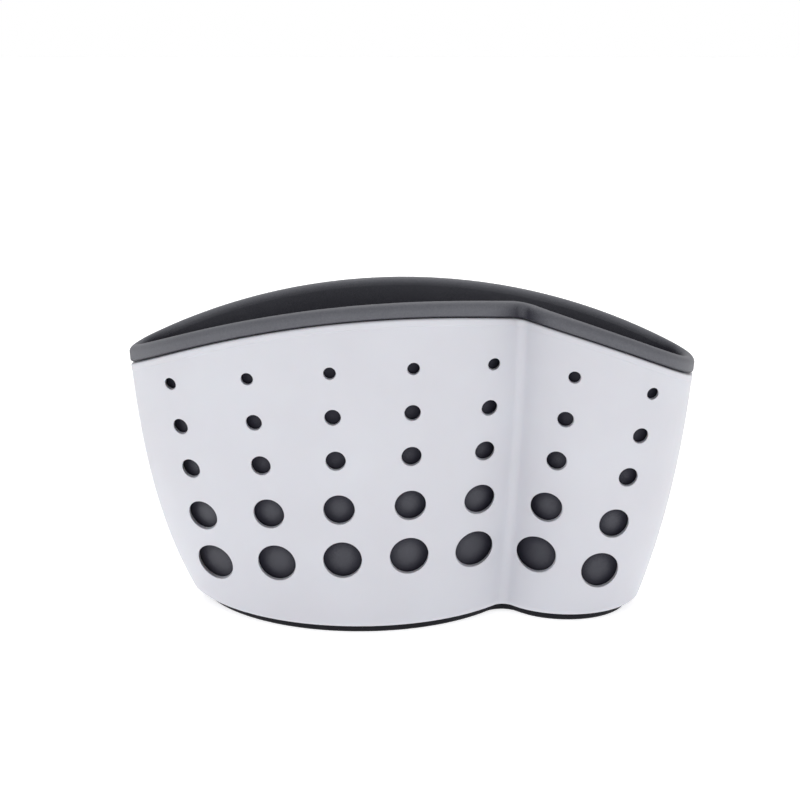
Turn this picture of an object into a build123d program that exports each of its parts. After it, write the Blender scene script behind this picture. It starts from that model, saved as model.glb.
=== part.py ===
from build123d import *
import os

# Kitchen sink caddy: a white tub with two front lobes, a soft grey liner that
# lifts out of it, a soft base ring and two suction cups on its flat back.
# Millimetres, +Z up, front towards -Y. The origin is on the floor, under the
# middle of the base ring.

# tub outline, seen from above, at the height of its two side tips
left_reach = 105.0         # from the middle to the left tip, before it is rounded
narrow_lobe_width = 62.1   # from the groove to the right tip, before it is rounded
back_y = 23.7              # outer face of the flat back
groove_x = 36.8            # vertical groove between the two lobes
groove_depth = 31.4        # from the back's outer face to the groove
lobe_bow_share = 0.3       # each lobe's arc rises by this share of the lobe's width,
wide_lobe_bow = -2.74      # and by this more or less
narrow_lobe_bow = 8.77
tip_radius = 8.0
groove_radius = 3.0

# tub profile: the walls lean in and curve towards the foot
side_height = 82.4         # foot to top edge, at the side tips
crown_rise = 26.9          # how far the edge arches above the tips
crown_x = -3.2
arch_margin = 0.55         # the arch is measured this far past each tip
edge_slope = 0.024         # the edge climbs this much for each unit forward
lean_x_share = 0.062
belly_x_share = 0.094
left_tuck_share = 0.053    # the tips tuck in more quickly just above the foot
right_tuck_share = 0.026
tuck_power = 4
lean_y_share = 0.109
belly_y_share = 0.035
pinch_share = 0.065        # the groove runs further back towards the foot
hold_share = 0.035         # and leans in less than the tips do
fill_share = 0.04          # while the lobes swell to meet it
section_shares = (0.0, 0.2, 0.45, 0.75, 1.1, 1.5)

# walls and clearances
shell_wall = 2.0
shell_floor = 3.0
foot_radius = 2.4
liner_gap = 0.3
liner_wall = 2.6
liner_floor = 2.0
seat_gap = 0.1
overrun = 10.0             # how far every cutting body runs past what it cuts

# lip of the shell: a slightly raised band along its arched edge
lip_height = 2.4
lip_proud = 0.15
lip_round = 0.7

# rolled rim of the liner, above the shell's edge
rim_height = 6.3
rim_slope = 0.006          # its top climbs less than the shell's edge does
rim_proud = 0.2
rim_gap = 0.3
rim_round = 2.3
rim_inner_round = 2.5
rim_edge = 1.1

# round openings in the front, cored straight through from the front
column_top_shares = (-0.818, -0.544, -0.272, -0.001, 0.267, 0.533, 0.798)
column_foot_shares = (-0.682, -0.460, -0.237, -0.014, 0.208, 0.424, 0.640)
row_height_shares = (0.924, 0.728, 0.531, 0.305, 0.076)
row_follow_shares = (0.652, 0.682, 0.712, 0.746, 0.755)
row_crest_x = -4.4         # the rows crest a little left of the edge
hole_diameters = (4.2, 5.5, 6.8, 10.7, 13.3)
core_start = 14.0          # the cores start this far inside the back

# base ring
pad_drop = 3.0             # how far the ring stands below the shell
pad_seat = 1.0             # how deep it sits in the shell's floor
pad_inset = 4.0
pad_width = 2.8
pad_edge = 0.5
notch_width = 7.0
notch_height = 1.8
notch_pitch = 56.0
notch_count = 3

# drain holes through the two floors
drain_diameter = 6.0
drain_pitch = 15.0
back_row_inset = 17.0
back_row_count = 5
back_row_x = -20.0
front_row_inset = 31.0
front_row_count = 3
front_row_x = -20.0
side_row_inset = 18.0
side_row_count = 2
side_row_x = 54.0

# suction cups and their seats in the back
cup_spacing = 96.0
cup_height = 60.0          # cup centre above the floor
cup_diameter = 40.0
cup_depth = 6.5
cup_lip = 0.8
cup_land = 1.2             # flat ring that meets the wall
cup_bow = 0.6              # how much the bell's outside is domed
cup_hollow = 1.4           # how much its inside is domed
hub_diameter = 15.0
hub_thickness = 2.4
neck_diameter = 7.0
neck_gap = 0.1
head_diameter = 10.4
head_thickness = 2.0
pocket_diameter = 13.0
pocket_depth = 3.0
boss_diameter = 18.0

# worked out from the sizes above
wide_lobe_width = left_reach + groove_x
right_reach = groove_x + narrow_lobe_width
wide_lobe_sagitta = lobe_bow_share * wide_lobe_width + wide_lobe_bow
narrow_lobe_sagitta = lobe_bow_share * narrow_lobe_width + narrow_lobe_bow
arch_span = left_reach + right_reach + 2 * arch_margin
foot_z = pad_drop
edge_run = (0, -1, edge_slope)
rim_run = (0, -1, rim_slope)
shell_cavity_z = foot_z + shell_floor
liner_inset = shell_wall + liner_gap
cavity_inset = liner_inset + liner_wall
liner_cavity_z = shell_cavity_z + liner_floor
neck_hole_diameter = neck_diameter + neck_gap
boss_face_y = back_y + pocket_depth
web_face_y = boss_face_y - shell_wall
cup_face_y = boss_face_y + hub_thickness + cup_depth


def taper(share, lean_share, belly_share):
    """Size of the outline at a level, as a share of its size at the tips."""
    drop = 1 - share
    return 1 - lean_share * drop - belly_share * drop**2


def lobe_circle(start, end, sagitta):
    """Centre and radius of the arc that a lobe follows from corner to corner."""
    span = Vector(*end) - Vector(*start)
    radius = (span.length**2 / 4 + sagitta**2) / (2 * sagitta)
    centre = Vector(*start) + span / 2 + span.normalized().rotate(Axis.Z, 90) * (radius - sagitta)
    return centre, radius


def front_meeting(centre, radius, other_centre, other_radius):
    """Where two circles cross on their front side."""
    between = other_centre - centre
    along = (radius**2 - other_radius**2 + between.length**2) / (2 * between.length)
    aside = (radius**2 - along**2)**0.5
    ahead = between.normalized()
    return centre + ahead * along + ahead.rotate(Axis.Z, -90) * aside


def tub_outline(share, inset):
    """Closed outline of the tub at a level, drawn in by the inset.

    The two lobes keep their centres, so that the inset only takes from their
    radii, and the three corners are rounded about the same centres as well.
    """
    along = taper(share, lean_x_share, belly_x_share)
    across = taper(share, lean_y_share, belly_y_share)
    drop = 1 - share
    tuck = max(drop, 0)**tuck_power
    swell = across + fill_share * drop**2
    left_tip = (-left_reach * (along - left_tuck_share * tuck), back_y)
    right_tip = (right_reach * (along - right_tuck_share * tuck), back_y)
    groove_y = back_y - groove_depth * (across - pinch_share * drop**2)
    groove = (groove_x * (along + hold_share * drop**2), groove_y)
    wide_centre, wide_radius = lobe_circle(left_tip, groove, wide_lobe_sagitta * swell)
    narrow_centre, narrow_radius = lobe_circle(groove, right_tip, narrow_lobe_sagitta * swell)
    wide_radius -= inset
    narrow_radius -= inset
    line_y = back_y - inset
    left_x = wide_centre.X - (wide_radius**2 - (line_y - wide_centre.Y)**2)**0.5
    right_x = narrow_centre.X + (narrow_radius**2 - (line_y - narrow_centre.Y)**2)**0.5
    dip = front_meeting(wide_centre, wide_radius, narrow_centre, narrow_radius)
    with BuildSketch(Plane.XY.offset(foot_z + side_height * share)) as outline:
        with BuildLine():
            ThreePointArc((left_x, line_y), (wide_centre.X, wide_centre.Y - wide_radius), dip)
            ThreePointArc(dip, (narrow_centre.X, narrow_centre.Y - narrow_radius), (right_x, line_y))
            Line((right_x, line_y), (left_x, line_y))
        make_face()
        fillet(outline.vertices().group_by(Axis.Y)[0], groove_radius + inset)
        fillet(outline.vertices().group_by(Axis.Y)[-1], tip_radius - inset)
    return outline.sketch


def tub_sections(inset):
    return [tub_outline(share, inset) for share in section_shares]


def arch_drop(reach):
    """How far the arch has fallen at a distance from its crest."""
    radius = ((arch_span / 2)**2 + crown_rise**2) / (2 * crown_rise)
    return radius - (radius**2 - reach**2)**0.5


def edge_arch(lift):
    """Everything above the arched edge line at the back, raised by the lift."""
    crown_z = foot_z + side_height + crown_rise + lift
    left_x = -left_reach - overrun
    right_x = right_reach + overrun
    left = (left_x, crown_z - arch_drop(left_x - crown_x))
    right = (right_x, crown_z - arch_drop(right_x - crown_x))
    sky = foot_z + side_height * section_shares[-1] + overrun
    with BuildSketch(Plane.XZ.offset(-back_y)) as region:
        with BuildLine():
            ThreePointArc(left, (crown_x, crown_z), right)
            Polyline(right, (right_x, sky), (left_x, sky), left)
        make_face()
    return region.sketch


def row_height(row, x):
    """Height of a front opening: the rows follow part of the edge's arch."""
    arch = crown_rise - arch_drop(x - row_crest_x)
    return foot_z + row_height_shares[row] * side_height + row_follow_shares[row] * arch


def column_x(column, row):
    """The columns draw together from the top row to the foot row."""
    top_row = row_height_shares[0]
    fall = (top_row - row_height_shares[row]) / (top_row - row_height_shares[-1])
    top_share = column_top_shares[column]
    share = top_share + (column_foot_shares[column] - top_share) * fall
    return share * arch_span / 2


def cup_profile(x):
    """Half section of a suction cup, to be turned about its own axis."""
    head_y = web_face_y - head_thickness
    hub_y = boss_face_y + hub_thickness
    with BuildSketch(Plane((x, 0, cup_height))) as profile:
        with BuildLine():
            Polyline(
                (0, head_y),
                (head_diameter / 2, head_y),
                (head_diameter / 2, web_face_y),
                (neck_diameter / 2, web_face_y),
                (neck_diameter / 2, boss_face_y),
                (hub_diameter / 2, boss_face_y),
                (hub_diameter / 2, hub_y),
            )
            SagittaArc((hub_diameter / 2, hub_y), (cup_diameter / 2, cup_face_y - cup_lip), -cup_bow)
            Line((cup_diameter / 2, cup_face_y - cup_lip), (cup_diameter / 2, cup_face_y))
            Line((cup_diameter / 2, cup_face_y), (cup_diameter / 2 - cup_land, cup_face_y))
            SagittaArc((cup_diameter / 2 - cup_land, cup_face_y), (neck_diameter / 2, hub_y + cup_lip), cup_hollow)
            Polyline((neck_diameter / 2, hub_y + cup_lip), (0, hub_y + cup_lip), (0, head_y))
        make_face()
    return profile.sketch


# cutting bodies, shared by the pieces
with BuildPart() as shell_cavity:
    loft(sections=tub_sections(shell_wall))
    with BuildSketch(Plane.XY.offset(foot_z - overrun)):
        Rectangle(arch_span * 2, arch_span)
    extrude(amount=overrun + shell_floor, mode=Mode.SUBTRACT)

with BuildPart() as liner_cavity:
    loft(sections=tub_sections(cavity_inset))
    with BuildSketch(Plane.XY.offset(foot_z - overrun)):
        Rectangle(arch_span * 2, arch_span)
    extrude(amount=liner_cavity_z - foot_z + overrun, mode=Mode.SUBTRACT)

with BuildPart() as drain_holes:
    with BuildSketch(Plane.XY.offset(foot_z - overrun)):
        with Locations((back_row_x, back_y - back_row_inset)):
            with GridLocations(drain_pitch, 0, back_row_count, 1):
                Circle(drain_diameter / 2)
        with Locations((front_row_x, back_y - front_row_inset)):
            with GridLocations(drain_pitch, 0, front_row_count, 1):
                Circle(drain_diameter / 2)
        with Locations((side_row_x, back_y - side_row_inset)):
            with GridLocations(drain_pitch, 0, side_row_count, 1):
                Circle(drain_diameter / 2)
    extrude(amount=liner_cavity_z - foot_z + overrun * 2)

with BuildPart() as lip_band:
    loft(sections=tub_sections(-lip_proud))
    extrude(edge_arch(-lip_height), amount=arch_span, dir=edge_run, both=True, mode=Mode.INTERSECT)

with BuildPart() as rim_blank:
    loft(sections=tub_sections(-rim_proud))
    extrude(edge_arch(rim_gap), amount=arch_span, dir=edge_run, both=True, mode=Mode.INTERSECT)
    fillet(rim_blank.faces().sort_by(Axis.Z)[0].edges(), rim_edge)

# outer shell: the white tub, with its front openings, the seat of the
# base ring in its floor and two bosses for the suction cups on its back
with BuildPart() as outer_shell:
    loft(sections=tub_sections(0))
    fillet(outer_shell.faces().sort_by(Axis.Z)[0].edges(), foot_radius)
    add(lip_band.part)
    extrude(edge_arch(0), amount=arch_span, dir=edge_run, both=True, mode=Mode.SUBTRACT)
    fillet(outer_shell.faces().sort_by(Axis.Z)[-1].edges(), lip_round)
    with BuildSketch(Plane.XZ.offset(-back_y + shell_wall)):
        with Locations((0, cup_height)):
            with GridLocations(cup_spacing, 0, 2, 1):
                Circle(boss_diameter / 2)
    extrude(amount=-(shell_wall + pocket_depth))
    add(shell_cavity.part, mode=Mode.SUBTRACT)
    with BuildSketch(Plane.XZ.offset(-back_y + shell_wall)):
        with Locations((0, cup_height)):
            with GridLocations(cup_spacing, 0, 2, 1):
                Circle(pocket_diameter / 2)
    extrude(amount=-pocket_depth, mode=Mode.SUBTRACT)
    with BuildSketch(Plane.XZ.offset(-back_y + shell_wall)):
        with Locations((0, cup_height)):
            with GridLocations(cup_spacing, 0, 2, 1):
                Circle(neck_hole_diameter / 2)
    extrude(amount=-pocket_depth - overrun, mode=Mode.SUBTRACT)
    for row, diameter in enumerate(hole_diameters):
        for column in range(len(column_top_shares)):
            x = column_x(column, row)
            with BuildSketch(Plane.XZ.offset(-back_y + core_start)):
                with Locations((x, row_height(row, x))):
                    Circle(diameter / 2)
            extrude(amount=arch_span, mode=Mode.SUBTRACT)
    with BuildSketch(Plane.XY.offset(foot_z)) as seat:
        add(tub_outline(0, pad_inset - seat_gap))
        add(tub_outline(0, pad_inset + pad_width + seat_gap), mode=Mode.SUBTRACT)
    extrude(amount=pad_seat, mode=Mode.SUBTRACT)
    add(drain_holes.part, mode=Mode.SUBTRACT)
outer_shell.part.label = "outer_shell"

# inner liner: the soft grey tub that lifts out, with its rolled rim
with BuildPart() as inner_liner:
    loft(sections=tub_sections(liner_inset))
    with BuildSketch(Plane.XY.offset(foot_z - overrun)):
        Rectangle(arch_span * 2, arch_span)
    extrude(amount=shell_cavity_z - foot_z + overrun, mode=Mode.SUBTRACT)
    add(rim_blank.part)
    extrude(edge_arch(rim_height), amount=arch_span, dir=rim_run, both=True, mode=Mode.SUBTRACT)
    add(liner_cavity.part, mode=Mode.SUBTRACT)
    fillet(inner_liner.faces().sort_by(Axis.Z)[-1].inner_wires()[0].edges(), rim_inner_round)
    fillet(inner_liner.faces().sort_by(Axis.Z)[-1].outer_wire().edges(), rim_round)
    add(drain_holes.part, mode=Mode.SUBTRACT)
inner_liner.part.label = "inner_liner"

# base ring: a soft foot that follows the outline, notched at the back so
# that water can run out from under the tub
with BuildPart() as base_pad:
    with BuildSketch(Plane.XY.offset(foot_z)):
        add(tub_outline(0, pad_inset))
        add(tub_outline(0, pad_inset + pad_width), mode=Mode.SUBTRACT)
    extrude(amount=pad_seat)
    with BuildSketch(Plane.XY.offset(foot_z)):
        add(tub_outline(0, pad_inset))
        add(tub_outline(0, pad_inset + pad_width), mode=Mode.SUBTRACT)
    extrude(amount=-pad_drop)
    chamfer(base_pad.faces().sort_by(Axis.Z)[0].edges(), pad_edge)
    with BuildSketch(Plane.XZ.offset(-back_y)):
        with Locations((0, notch_height / 2)):
            with GridLocations(notch_pitch, 0, notch_count, 1):
                Rectangle(notch_width, notch_height)
    extrude(amount=pad_inset + pad_width + seat_gap, mode=Mode.SUBTRACT)
base_pad.part.label = "base_pad"

# suction cups: a mushroom head holds each one in its boss
with BuildPart() as suction_cup_left:
    revolve(cup_profile(-cup_spacing / 2), Axis((-cup_spacing / 2, 0, cup_height), (0, 1, 0)))
suction_cup_left.part.label = "suction_cup_left"

with BuildPart() as suction_cup_right:
    revolve(cup_profile(cup_spacing / 2), Axis((cup_spacing / 2, 0, cup_height), (0, 1, 0)))
suction_cup_right.part.label = "suction_cup_right"

os.makedirs("parts", exist_ok=True)
export_step(outer_shell.part, "parts/outer_shell.step")
export_step(inner_liner.part, "parts/inner_liner.step")
export_step(base_pad.part, "parts/base_pad.step")
export_step(suction_cup_left.part, "parts/suction_cup_left.step")
export_step(suction_cup_right.part, "parts/suction_cup_right.step")
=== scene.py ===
import bpy
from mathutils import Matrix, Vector

bl_info = {
    "name": "Kitchen sink caddy",
    "version": (1, 0, 0),
    "blender": (4, 5, 0),
    "location": "3D View > Sidebar > Caddy",
    "description": "Finishes a two-lobed sink caddy and lights it in a plain studio",
    "category": "Object",
}

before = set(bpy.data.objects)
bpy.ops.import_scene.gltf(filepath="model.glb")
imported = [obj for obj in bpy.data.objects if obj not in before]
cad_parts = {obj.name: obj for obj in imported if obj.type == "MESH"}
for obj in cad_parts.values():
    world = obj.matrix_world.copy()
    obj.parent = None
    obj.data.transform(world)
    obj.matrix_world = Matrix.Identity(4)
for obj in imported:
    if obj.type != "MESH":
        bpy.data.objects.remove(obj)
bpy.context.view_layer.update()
MM = 0.001

# The camera's focal length, measured in pixels on a frame of the given width.
FOCAL_PX = 1740.6
FRAME_PX = 800.0
SENSOR_MM = 36.0
CLIP_START = 0.01
CLIP_END = 50.0

# Each lamp: its name, place, sides and the studio setting that holds its power.
LAMPS = (
    ("key_lamp", (0.65, -0.85, 0.28), (0.9, 0.6), "key_power"),
    ("fill_lamp", (-0.8, -0.6, 0.26), (0.8, 0.6), "fill_power"),
    ("top_lamp", (0.0, 0.40, 0.95), (1.0, 0.8), "top_power"),
)
CADDY_MIDDLE = (0.0, 0.0, 0.06)
WHITE = (1.0, 1.0, 1.0, 1.0)

# Noise stays mostly between these two values, so a ramp runs from one to the other.
NOISE_LOW = 0.3
NOISE_HIGH = 0.7

# Sizes of the patterns in millimetres. A real moulding's pebble and grain are a
# few tenths of a millimetre at most, too fine to show, so both are drawn coarser.
MELT_CLOUD_MM = 34.0
SHELL_PEBBLE_MM = 0.9
SHELL_PEBBLE_DEPTH_MM = 0.05
WEAR_PATCH_MM = 22.0
LINER_GRAIN_MM = 0.7
RING_GRAIN_MM = 0.9
RUBBER_GRAIN_DEPTH_MM = 0.1
VINYL_HAZE_MM = 9.0
PAPER_FIBRE_MM = 3.0

# How deep light goes into the white shell, in millimetres.
SHELL_LIGHT_DEPTH_MM = 1.2

# How far a finish's roughness falls and rises about its middle, or its range.
SHELL_ROUGHNESS_FALL = 0.04
SHELL_ROUGHNESS_RISE = 0.05
RUBBER_ROUGHNESS_FALL = 0.05
RUBBER_ROUGHNESS_RISE = 0.08
VINYL_ROUGHNESS = (0.16, 0.26)
PAPER_ROUGHNESS = 0.9

# The rubber's tone is a product of shares: wear in patches, a speckle from the grain,
# and how open the surface is. Openness is painted shade: it is looked at twice, once
# close by for grooves and edges and once further for the inside of the tub.
WEAR_RANGE = (0.85, 1.1)
SPECKLE_RANGE = (0.7, 1.25)
PAINTED_SHADE_REACHES = (
    {"reach_mm": 15.0, "shut": 0.79, "clear": 0.96},
    {"reach_mm": 80.0, "shut": 0.44, "clear": 0.7},
)
CLEAR_SHARE = 0.95

# Rays for each point of a rounded edge and of an openness mask.
SURFACE_SAMPLES = 6

# The darkest fibres of the floor's paper, as a share of its colour.
PAPER_SHADE = 0.99


def linear(hex_colour):
    """An sRGB hex colour as linear red, green and blue, and full alpha."""
    colour = []
    for start in (1, 3, 5):
        share = int(hex_colour[start:start + 2], 16) / 255
        if share <= 0.04045:
            colour.append(share / 12.92)
        else:
            colour.append(((share + 0.055) / 1.055) ** 2.4)
    return colour + [1.0]


def opaque(colour):
    """A setting's red, green and blue, with full alpha."""
    return list(colour) + [1.0]


def per_metre(size_mm):
    """A noise scale whose lumps are about the given size in millimetres."""
    return 1.0 / (size_mm * MM)


def node(tree, kind, settings=(), links=(), stops=()):
    """Adds a node with its settings, its links from other nodes and a ramp's stops."""
    new = tree.nodes.new(kind)
    for name, value in dict(settings).items():
        if hasattr(new, name):
            setattr(new, name, value)
        else:
            new.inputs[name].default_value = value
    for name, socket in dict(links).items():
        tree.links.new(socket, new.inputs[name])
    for index, (position, colour) in enumerate(stops):
        new.color_ramp.elements[index].position = position
        new.color_ramp.elements[index].color = colour
    return new


def new_material(name):
    """A material with no nodes yet, and its node tree."""
    material = bpy.data.materials.new(name)
    material.use_nodes = True
    material.node_tree.nodes.clear()
    return material, material.node_tree


def moulded_polypropylene(looks):
    """Satin white polypropylene, injection moulded in a lightly textured tool.

    The eye sees an even cool white with a soft wide sheen, a faint cloudiness
    from the melt's flow, a very fine pebble in the highlight, and edges that
    catch the light because no moulded edge is quite sharp.
    """
    material, tree = new_material("satin_white_moulded_polypropylene")
    place = node(tree, "ShaderNodeTexCoord")
    cloud = node(
        tree,
        "ShaderNodeTexNoise",
        {"Scale": per_metre(MELT_CLOUD_MM), "Detail": 3.0, "Roughness": 0.5},
        {"Vector": place.outputs["Object"]},
    )
    pebble = node(
        tree,
        "ShaderNodeTexNoise",
        {"Scale": per_metre(SHELL_PEBBLE_MM), "Detail": 2.0, "Roughness": 0.6},
        {"Vector": place.outputs["Object"]},
    )
    colour = node(
        tree,
        "ShaderNodeValToRGB",
        links={"Fac": cloud.outputs["Fac"]},
        stops=[(NOISE_LOW, linear("#CECED5")), (NOISE_HIGH, opaque(looks.shell_colour))],
    )
    roughness = node(
        tree,
        "ShaderNodeMapRange",
        {
            "To Min": looks.shell_roughness - SHELL_ROUGHNESS_FALL,
            "To Max": looks.shell_roughness + SHELL_ROUGHNESS_RISE,
        },
        {"Value": cloud.outputs["Fac"]},
    )
    rounded = node(
        tree,
        "ShaderNodeBevel",
        {"samples": SURFACE_SAMPLES, "Radius": looks.edge_softness},
    )
    bump = node(
        tree,
        "ShaderNodeBump",
        {"Strength": 0.05, "Distance": SHELL_PEBBLE_DEPTH_MM * MM},
        {"Height": pebble.outputs["Fac"], "Normal": rounded.outputs["Normal"]},
    )
    shader = node(
        tree,
        "ShaderNodeBsdfPrincipled",
        {
            "IOR": 1.49,
            "Subsurface Weight": 0.06,
            "Subsurface Scale": SHELL_LIGHT_DEPTH_MM * MM,
        },
        {
            "Base Color": colour.outputs["Color"],
            "Roughness": roughness.outputs["Result"],
            "Normal": bump.outputs["Normal"],
        },
    )
    node(tree, "ShaderNodeOutputMaterial", links={"Surface": shader.outputs["BSDF"]})
    return material


def thermoplastic_rubber(name, painted_shade_colour, unshaded_colour, roughness, grain_mm):
    """Matte thermoplastic rubber from a spark-eroded tool.

    The eye sees a charcoal with paler worn patches, a broad weak sheen on rounds
    and a fine even grain. Painted shade darkens it in hollows, grooves and the
    inside of the tub, so that open rounds such as the rim stay paler.
    """
    material, tree = new_material(name)
    place = node(tree, "ShaderNodeTexCoord")
    patches = node(
        tree,
        "ShaderNodeTexNoise",
        {"Scale": per_metre(WEAR_PATCH_MM), "Detail": 4.0, "Roughness": 0.5},
        {"Vector": place.outputs["Object"]},
    )
    grain = node(
        tree,
        "ShaderNodeTexNoise",
        {"Scale": per_metre(grain_mm), "Detail": 3.0, "Roughness": 0.7},
        {"Vector": place.outputs["Object"]},
    )
    wear = node(
        tree,
        "ShaderNodeMapRange",
        {"To Min": WEAR_RANGE[0], "To Max": WEAR_RANGE[1]},
        {"Value": patches.outputs["Fac"]},
    )
    speckle = node(
        tree,
        "ShaderNodeMapRange",
        {"To Min": SPECKLE_RANGE[0], "To Max": SPECKLE_RANGE[1]},
        {"Value": grain.outputs["Fac"]},
    )
    tone_and_painted_shade = node(
        tree,
        "ShaderNodeMath",
        {"operation": "MULTIPLY"},
        {0: wear.outputs["Result"], 1: speckle.outputs["Result"]},
    )
    # Painted shade: each occlusion look lowers the tone where the surface is hidden, in the
    # backs of openings, grooves and the inside of the tub.
    for shade_reach in PAINTED_SHADE_REACHES:
        view = node(
            tree,
            "ShaderNodeAmbientOcclusion",
            {"samples": SURFACE_SAMPLES, "Distance": shade_reach["reach_mm"] * MM},
        )
        openness = node(
            tree,
            "ShaderNodeMapRange",
            {"From Min": shade_reach["shut"], "From Max": shade_reach["clear"], "To Max": CLEAR_SHARE},
            {"Value": view.outputs["AO"]},
        )
        tone_and_painted_shade = node(
            tree,
            "ShaderNodeMath",
            {"operation": "MULTIPLY"},
            {0: tone_and_painted_shade.outputs["Value"], 1: openness.outputs["Result"]},
        )
    # The ramp runs from the painted shade colour of hollows to the rubber's own pale tone.
    colour = node(
        tree,
        "ShaderNodeValToRGB",
        links={"Fac": tone_and_painted_shade.outputs["Value"]},
        stops=[(0.0, painted_shade_colour), (1.0, unshaded_colour)],
    )
    gloss = node(
        tree,
        "ShaderNodeMapRange",
        {
            "To Min": roughness - RUBBER_ROUGHNESS_FALL,
            "To Max": roughness + RUBBER_ROUGHNESS_RISE,
        },
        {"Value": grain.outputs["Fac"]},
    )
    bump = node(
        tree,
        "ShaderNodeBump",
        {"Strength": 0.35, "Distance": RUBBER_GRAIN_DEPTH_MM * MM},
        {"Height": grain.outputs["Fac"]},
    )
    shader = node(
        tree,
        "ShaderNodeBsdfPrincipled",
        {"IOR": 1.5, "Specular IOR Level": 0.28, "Sheen Weight": 0.08, "Sheen Roughness": 0.5},
        {
            "Base Color": colour.outputs["Color"],
            "Roughness": gloss.outputs["Result"],
            "Normal": bump.outputs["Normal"],
        },
    )
    node(tree, "ShaderNodeOutputMaterial", links={"Surface": shader.outputs["BSDF"]})
    return material


def soft_vinyl(looks):
    """Clear plasticised vinyl, moulded smooth.

    The eye sees a shiny bell that lets about half of the light through, with
    a faint milky haze in patches.
    """
    material, tree = new_material("clear_moulded_soft_vinyl")
    place = node(tree, "ShaderNodeTexCoord")
    haze = node(
        tree,
        "ShaderNodeTexNoise",
        {"Scale": per_metre(VINYL_HAZE_MM), "Detail": 2.0, "Roughness": 0.5},
        {"Vector": place.outputs["Object"]},
    )
    colour = node(
        tree,
        "ShaderNodeValToRGB",
        links={"Fac": haze.outputs["Fac"]},
        stops=[(NOISE_LOW, linear("#D9DEE1")), (NOISE_HIGH, opaque(looks.cup_colour))],
    )
    roughness = node(
        tree,
        "ShaderNodeMapRange",
        {"To Min": VINYL_ROUGHNESS[0], "To Max": VINYL_ROUGHNESS[1]},
        {"Value": haze.outputs["Fac"]},
    )
    shader = node(
        tree,
        "ShaderNodeBsdfPrincipled",
        {"IOR": 1.53, "Transmission Weight": 0.55},
        {"Base Color": colour.outputs["Color"], "Roughness": roughness.outputs["Result"]},
    )
    node(tree, "ShaderNodeOutputMaterial", links={"Surface": shader.outputs["BSDF"]})
    return material


def light_table_paper(studio):
    """Matte white paper on a light table.

    The eye sees an even white floor: its own glow adds to the light that it
    reflects, and reaches under the caddy.
    """
    material, tree = new_material("matte_white_paper")
    palest = opaque(studio.paper_colour)
    shaded = opaque([share * PAPER_SHADE for share in studio.paper_colour])
    place = node(tree, "ShaderNodeTexCoord")
    fibre = node(
        tree,
        "ShaderNodeTexNoise",
        {"Scale": per_metre(PAPER_FIBRE_MM), "Detail": 3.0, "Roughness": 0.5},
        {"Vector": place.outputs["Object"]},
    )
    tint = node(
        tree,
        "ShaderNodeValToRGB",
        links={"Fac": fibre.outputs["Fac"]},
        stops=[(NOISE_LOW, shaded), (NOISE_HIGH, palest)],
    )
    paper = node(
        tree,
        "ShaderNodeBsdfDiffuse",
        {"Roughness": PAPER_ROUGHNESS},
        {"Color": tint.outputs["Color"]},
    )
    glow = node(
        tree,
        "ShaderNodeEmission",
        {"Color": WHITE, "Strength": studio.paper_glow},
    )
    both = node(
        tree,
        "ShaderNodeAddShader",
        links={0: paper.outputs["BSDF"], 1: glow.outputs["Emission"]},
    )
    node(tree, "ShaderNodeOutputMaterial", links={"Surface": both.outputs["Shader"]})
    return material


class CaddyLooks(bpy.types.PropertyGroup):
    """Colours and finishes of the caddy's pieces"""

    shell_colour: bpy.props.FloatVectorProperty(
        name="Shell colour",
        description="Palest tone of the white shell",
        subtype="COLOR",
        size=3,
        min=0.0,
        max=1.0,
        default=linear("#D2D3DA")[:3],
    )
    shell_roughness: bpy.props.FloatProperty(
        name="Shell roughness",
        description="How matte the shell is",
        subtype="FACTOR",
        min=0.05,
        max=1.0,
        default=0.42,
    )
    edge_softness: bpy.props.FloatProperty(
        name="Edge softness",
        description="Radius of the shell's moulded edges",
        unit="LENGTH",
        min=0.0,
        max=1.0 * MM,
        default=0.6 * MM,
    )
    liner_colour: bpy.props.FloatVectorProperty(
        name="Liner colour",
        description="Palest tone of the grey liner",
        subtype="COLOR",
        size=3,
        min=0.0,
        max=1.0,
        default=linear("#66676D")[:3],
    )
    ring_colour: bpy.props.FloatVectorProperty(
        name="Base ring colour",
        description="Palest tone of the dark base ring",
        subtype="COLOR",
        size=3,
        min=0.0,
        max=1.0,
        default=linear("#14131D")[:3],
    )
    cup_colour: bpy.props.FloatVectorProperty(
        name="Suction cup colour",
        description="Palest tint of the clear suction cups",
        subtype="COLOR",
        size=3,
        min=0.0,
        max=1.0,
        default=linear("#E6ECEF")[:3],
    )


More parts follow.
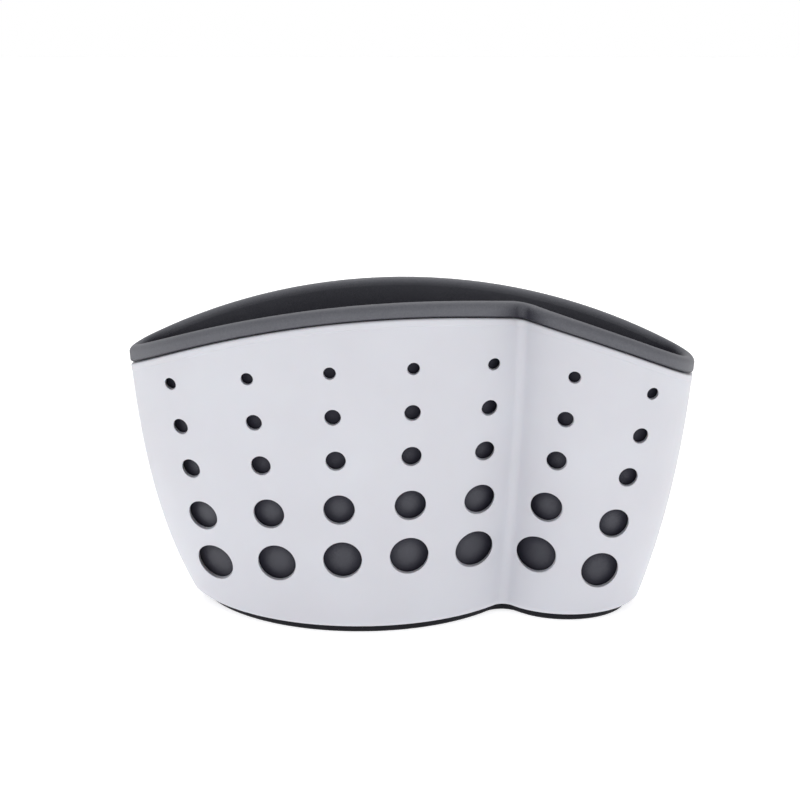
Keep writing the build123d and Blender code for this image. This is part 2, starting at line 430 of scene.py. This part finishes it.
class CaddyStudio(bpy.types.PropertyGroup):
    """Camera, floor and lights around the caddy"""

    camera_place: bpy.props.FloatVectorProperty(
        name="Camera place",
        description="Where the camera stands",
        subtype="XYZ",
        unit="LENGTH",
        size=3,
        default=(-0.0046, -0.5933, 0.2260),
    )
    camera_target: bpy.props.FloatVectorProperty(
        name="Camera target",
        description="The point that the camera looks at",
        subtype="XYZ",
        unit="LENGTH",
        size=3,
        default=(-0.0046, 0.0237, 0.0726),
    )
    floor_reach: bpy.props.FloatProperty(
        name="Floor reach",
        description="Half the side of the floor",
        unit="LENGTH",
        min=0.5,
        default=4.0,
    )
    paper_colour: bpy.props.FloatVectorProperty(
        name="Paper colour",
        description="Palest tone of the floor",
        subtype="COLOR",
        size=3,
        min=0.0,
        max=1.0,
        default=linear("#EDEDED")[:3],
    )
    paper_glow: bpy.props.FloatProperty(
        name="Paper glow",
        description="Strength of the light that the floor gives off itself",
        min=0.0,
        max=1.0,
        default=0.56,
    )
    horizon_level: bpy.props.FloatProperty(
        name="Horizon level",
        description="Strength of the light that comes from the sides",
        min=0.0,
        default=0.82,
    )
    zenith_level: bpy.props.FloatProperty(
        name="Zenith level",
        description="Strength of the light that comes from overhead",
        min=0.0,
        default=0.35,
    )
    key_power: bpy.props.FloatProperty(
        name="Key light",
        description="Power of the large lamp at the front right",
        subtype="POWER",
        min=0.0,
        default=1.3,
    )
    fill_power: bpy.props.FloatProperty(
        name="Fill light",
        description="Power of the lamp at the front left",
        subtype="POWER",
        min=0.0,
        default=1.0,
    )
    top_power: bpy.props.FloatProperty(
        name="Top light",
        description="Power of the lamp above and behind the caddy",
        subtype="POWER",
        min=0.0,
        default=5.5,
    )


def dress(name, material):
    """Gives a CAD node its finish."""
    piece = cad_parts[name]
    for place in piece.material_slots:
        place.material = material


def aim(thing, target):
    """Turns a lamp or a camera to face a point."""
    ahead = Vector(target) - thing.location
    thing.rotation_euler = ahead.to_track_quat("-Z", "Y").to_euler()


class CADDY_OT_shell(bpy.types.Operator):
    """Finish the white outer shell"""

    bl_idname = "caddy.shell"
    bl_label = "Outer shell"

    def execute(self, context):
        plastic = moulded_polypropylene(context.scene.caddy_looks)
        dress("outer_shell", plastic)
        return {"FINISHED"}


class CADDY_OT_liner(bpy.types.Operator):
    """Finish the grey liner with its rolled rim"""

    bl_idname = "caddy.liner"
    bl_label = "Inner liner"

    def execute(self, context):
        rubber = thermoplastic_rubber(
            "grey_matte_thermoplastic_rubber",
            # The darkest tone is painted shade for the liner's hollows, openings and inside,
            # tinted blue like light bounced off the white shell.
            painted_shade_colour=linear("#1A1926"),
            unshaded_colour=opaque(context.scene.caddy_looks.liner_colour),
            roughness=0.56,
            grain_mm=LINER_GRAIN_MM,
        )
        dress("inner_liner", rubber)
        return {"FINISHED"}


class CADDY_OT_base_ring(bpy.types.Operator):
    """Finish the dark base ring"""

    bl_idname = "caddy.base_ring"
    bl_label = "Base ring"

    def execute(self, context):
        rubber = thermoplastic_rubber(
            "dark_matte_thermoplastic_rubber",
            # The darkest tone is painted shade for the ring's hidden surfaces.
            painted_shade_colour=linear("#0D0C15"),
            unshaded_colour=opaque(context.scene.caddy_looks.ring_colour),
            roughness=0.7,
            grain_mm=RING_GRAIN_MM,
        )
        dress("base_pad", rubber)
        return {"FINISHED"}


class CADDY_OT_suction_cups(bpy.types.Operator):
    """Finish the two suction cups on the back"""

    bl_idname = "caddy.suction_cups"
    bl_label = "Suction cups"

    def execute(self, context):
        vinyl = soft_vinyl(context.scene.caddy_looks)
        dress("suction_cup_left", vinyl)
        dress("suction_cup_right", vinyl)
        return {"FINISHED"}


class CADDY_OT_studio(bpy.types.Operator):
    """Lay the floor, hang the lamps and set the camera"""

    bl_idname = "caddy.studio"
    bl_label = "Studio"

    def execute(self, context):
        studio = context.scene.caddy_studio
        self.floor(context, studio)
        for name, place, sides, power in LAMPS:
            self.lamp(context, name, place, sides, getattr(studio, power))
        self.surround(context, studio)
        self.camera(context, studio)
        context.scene.view_settings.view_transform = "Standard"
        return {"FINISHED"}

    def floor(self, context, studio):
        """A flat square of paper under the caddy."""
        bpy.ops.object.select_all(action="DESELECT")
        bpy.ops.mesh.primitive_plane_add(size=studio.floor_reach * 2, location=(0.0, 0.0, 0.0))
        floor = context.object
        floor.name = "studio_floor"
        floor.data.materials.append(light_table_paper(studio))

    def lamp(self, context, name, place, sides, power):
        """A flat lamp that faces the middle of the caddy."""
        bpy.ops.object.light_add(type="AREA", location=place)
        lamp = context.object
        lamp.name = name
        lamp.data.shape = "RECTANGLE"
        lamp.data.size = sides[0]
        lamp.data.size_y = sides[1]
        lamp.data.energy = power
        aim(lamp, CADDY_MIDDLE)

    def surround(self, context, studio):
        """Soft light, weaker overhead, that the camera sees as plain white."""
        world = bpy.data.worlds.new("soft_studio_light")
        context.scene.world = world
        world.use_nodes = True
        tree = world.node_tree
        tree.nodes.clear()
        path = node(tree, "ShaderNodeLightPath")
        place = node(tree, "ShaderNodeTexCoord")
        direction = node(
            tree,
            "ShaderNodeSeparateXYZ",
            links={"Vector": place.outputs["Generated"]},
        )
        sky = node(
            tree,
            "ShaderNodeMapRange",
            {"To Min": studio.horizon_level, "To Max": studio.zenith_level},
            {"Value": direction.outputs["Z"]},
        )
        strength = node(
            tree,
            "ShaderNodeMapRange",
            {"To Max": 1.0},
            {"Value": path.outputs["Is Camera Ray"], "To Min": sky.outputs["Result"]},
        )
        light = node(
            tree,
            "ShaderNodeBackground",
            {"Color": WHITE},
            {"Strength": strength.outputs["Result"]},
        )
        node(tree, "ShaderNodeOutputWorld", links={"Surface": light.outputs["Background"]})

    def camera(self, context, studio):
        """Stands at the photograph's distance and height, and looks slightly down."""
        bpy.ops.object.camera_add(location=studio.camera_place)
        camera = context.object
        camera.name = "studio_camera"
        aim(camera, studio.camera_target)
        camera.data.sensor_width = SENSOR_MM
        camera.data.lens = FOCAL_PX * SENSOR_MM / FRAME_PX
        camera.data.clip_start = CLIP_START
        camera.data.clip_end = CLIP_END
        context.scene.camera = camera


class CADDY_PT_panel(bpy.types.Panel):
    """Lists the settings of the caddy and its studio, and what makes them"""

    bl_idname = "CADDY_PT_panel"
    bl_label = "Kitchen sink caddy"
    bl_space_type = "VIEW_3D"
    bl_region_type = "UI"
    bl_category = "Caddy"

    def draw(self, context):
        layout = self.layout
        for group in (context.scene.caddy_looks, context.scene.caddy_studio):
            for name in group.__annotations__:
                layout.prop(group, name)
        for operator in OPERATORS:
            layout.operator(operator.bl_idname)


OPERATORS = (
    CADDY_OT_shell,
    CADDY_OT_liner,
    CADDY_OT_base_ring,
    CADDY_OT_suction_cups,
    CADDY_OT_studio,
)
CLASSES = (CaddyLooks, CaddyStudio) + OPERATORS + (CADDY_PT_panel,)


def register():
    for cls in CLASSES:
        bpy.utils.register_class(cls)
    bpy.types.Scene.caddy_looks = bpy.props.PointerProperty(type=CaddyLooks)
    bpy.types.Scene.caddy_studio = bpy.props.PointerProperty(type=CaddyStudio)


def unregister():
    del bpy.types.Scene.caddy_studio
    del bpy.types.Scene.caddy_looks
    for cls in reversed(CLASSES):
        bpy.utils.unregister_class(cls)


def main():
    register()
    bpy.ops.caddy.shell()
    bpy.ops.caddy.liner()
    bpy.ops.caddy.base_ring()
    bpy.ops.caddy.suction_cups()
    bpy.ops.caddy.studio()


if __name__ == "__main__":
    main()
